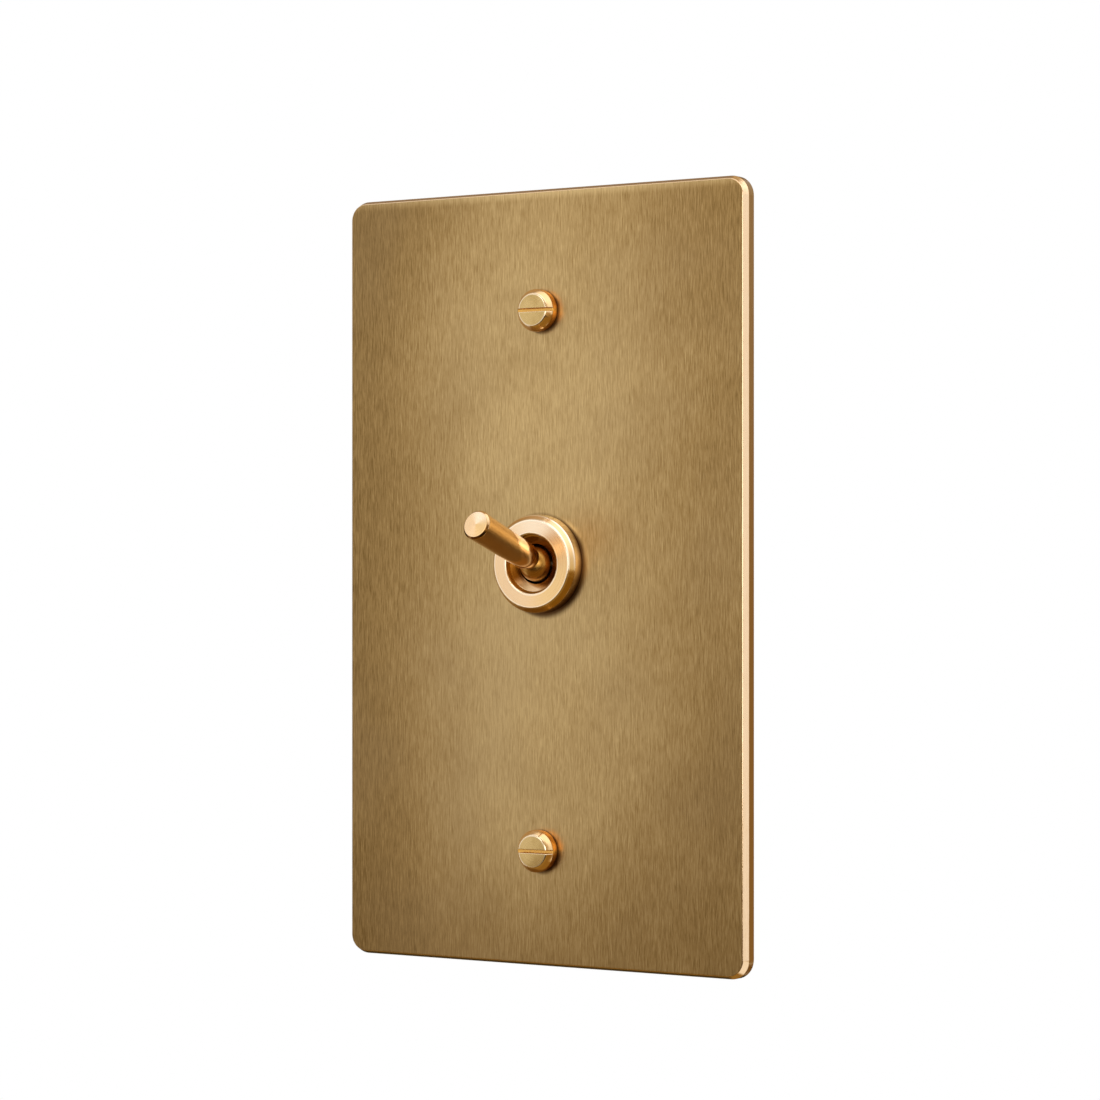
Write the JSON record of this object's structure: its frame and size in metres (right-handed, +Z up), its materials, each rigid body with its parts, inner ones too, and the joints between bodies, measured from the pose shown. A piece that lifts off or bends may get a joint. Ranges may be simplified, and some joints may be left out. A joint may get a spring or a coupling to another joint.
{
  "type": "dolly light switch",
  "caption": "Brass wall switch: bevelled brushed plate held by slotted screws, with a turned dolly lever in a round bezel and a sprung two-way contact mechanism behind.",
  "frame": {"origin": "midway between the two plate screws, on the plane of the plate's back face, which lies on the wall", "axes": "+Z up the plate, +Y into the wall, -Y towards the person using the switch, +X to that person's right"},
  "size_m": [0.0728, 0.0473, 0.12],
  "materials": {
    "brushed_brass": "antique brass with a fine vertical brushed grain",
    "polished_brass": "polished turned brass",
    "plain_brass": "plain machined brass",
    "plated_steel": "zinc-plated steel",
    "spring_steel": "bright spring wire",
    "contact_silver": "fine silver contact",
    "nylon": "natural nylon",
    "vulcanised_fibre": "red-brown fibre sheet",
    "black_moulding": "black moulded insulation"
  },
  "bodies": {
    "switch_body": {"face_plate": "brushed_brass", "plate_screws": "polished_brass", "bezel_nut": "polished_brass", "threaded_bush": "polished_brass", "pivot_pin": "plated_steel", "lock_washer": "plated_steel", "back_nut": "plain_brass", "steel_bracket": "plated_steel", "insulating_sheet": "vulcanised_fibre", "moulded_housing": "black_moulding", "upper_terminal": "plain_brass", "common_terminal": "plain_brass", "lower_terminal": "plain_brass", "clamp_screws": "plain_brass", "fixed_contacts": "contact_silver", "rocker_saddle": "plain_brass", "earth_washer": "plated_steel", "earth_screw": "plain_brass"},
    "dolly": {"dolly": "polished_brass", "plunger_spring": "spring_steel"},
    "plunger": {"plunger": "nylon"},
    "rocker": {"rocker_contact": "plain_brass", "moving_contacts": "contact_silver"}
  },
  "joints": [
    {"name": "dolly_hinge", "type": "hinge", "parent": "switch_body", "child": "dolly", "pos_m": [0, -0.0033, 0.0026], "axis": [1, 0, 0], "range_deg": [0, 38]},
    {"name": "plunger_slide", "type": "slide", "parent": "dolly", "child": "plunger", "axis": [0, -0.9455, 0.3256], "range_m": [0, 0.0008], "stiffness_N_per_m": 600, "springref_m": -0.0015, "deforming": ["plunger_spring"]},
    {"name": "rocker_hinge", "type": "hinge", "parent": "switch_body", "child": "rocker", "pos_m": [0, 0.0116, 0.0026], "axis": [1, 0, 0], "range_deg": [-14, 0]}
  ],
  "couplings": [
    {"joint": "rocker_hinge", "follows": "dolly_hinge", "ratio": -0.36842}
  ]
}
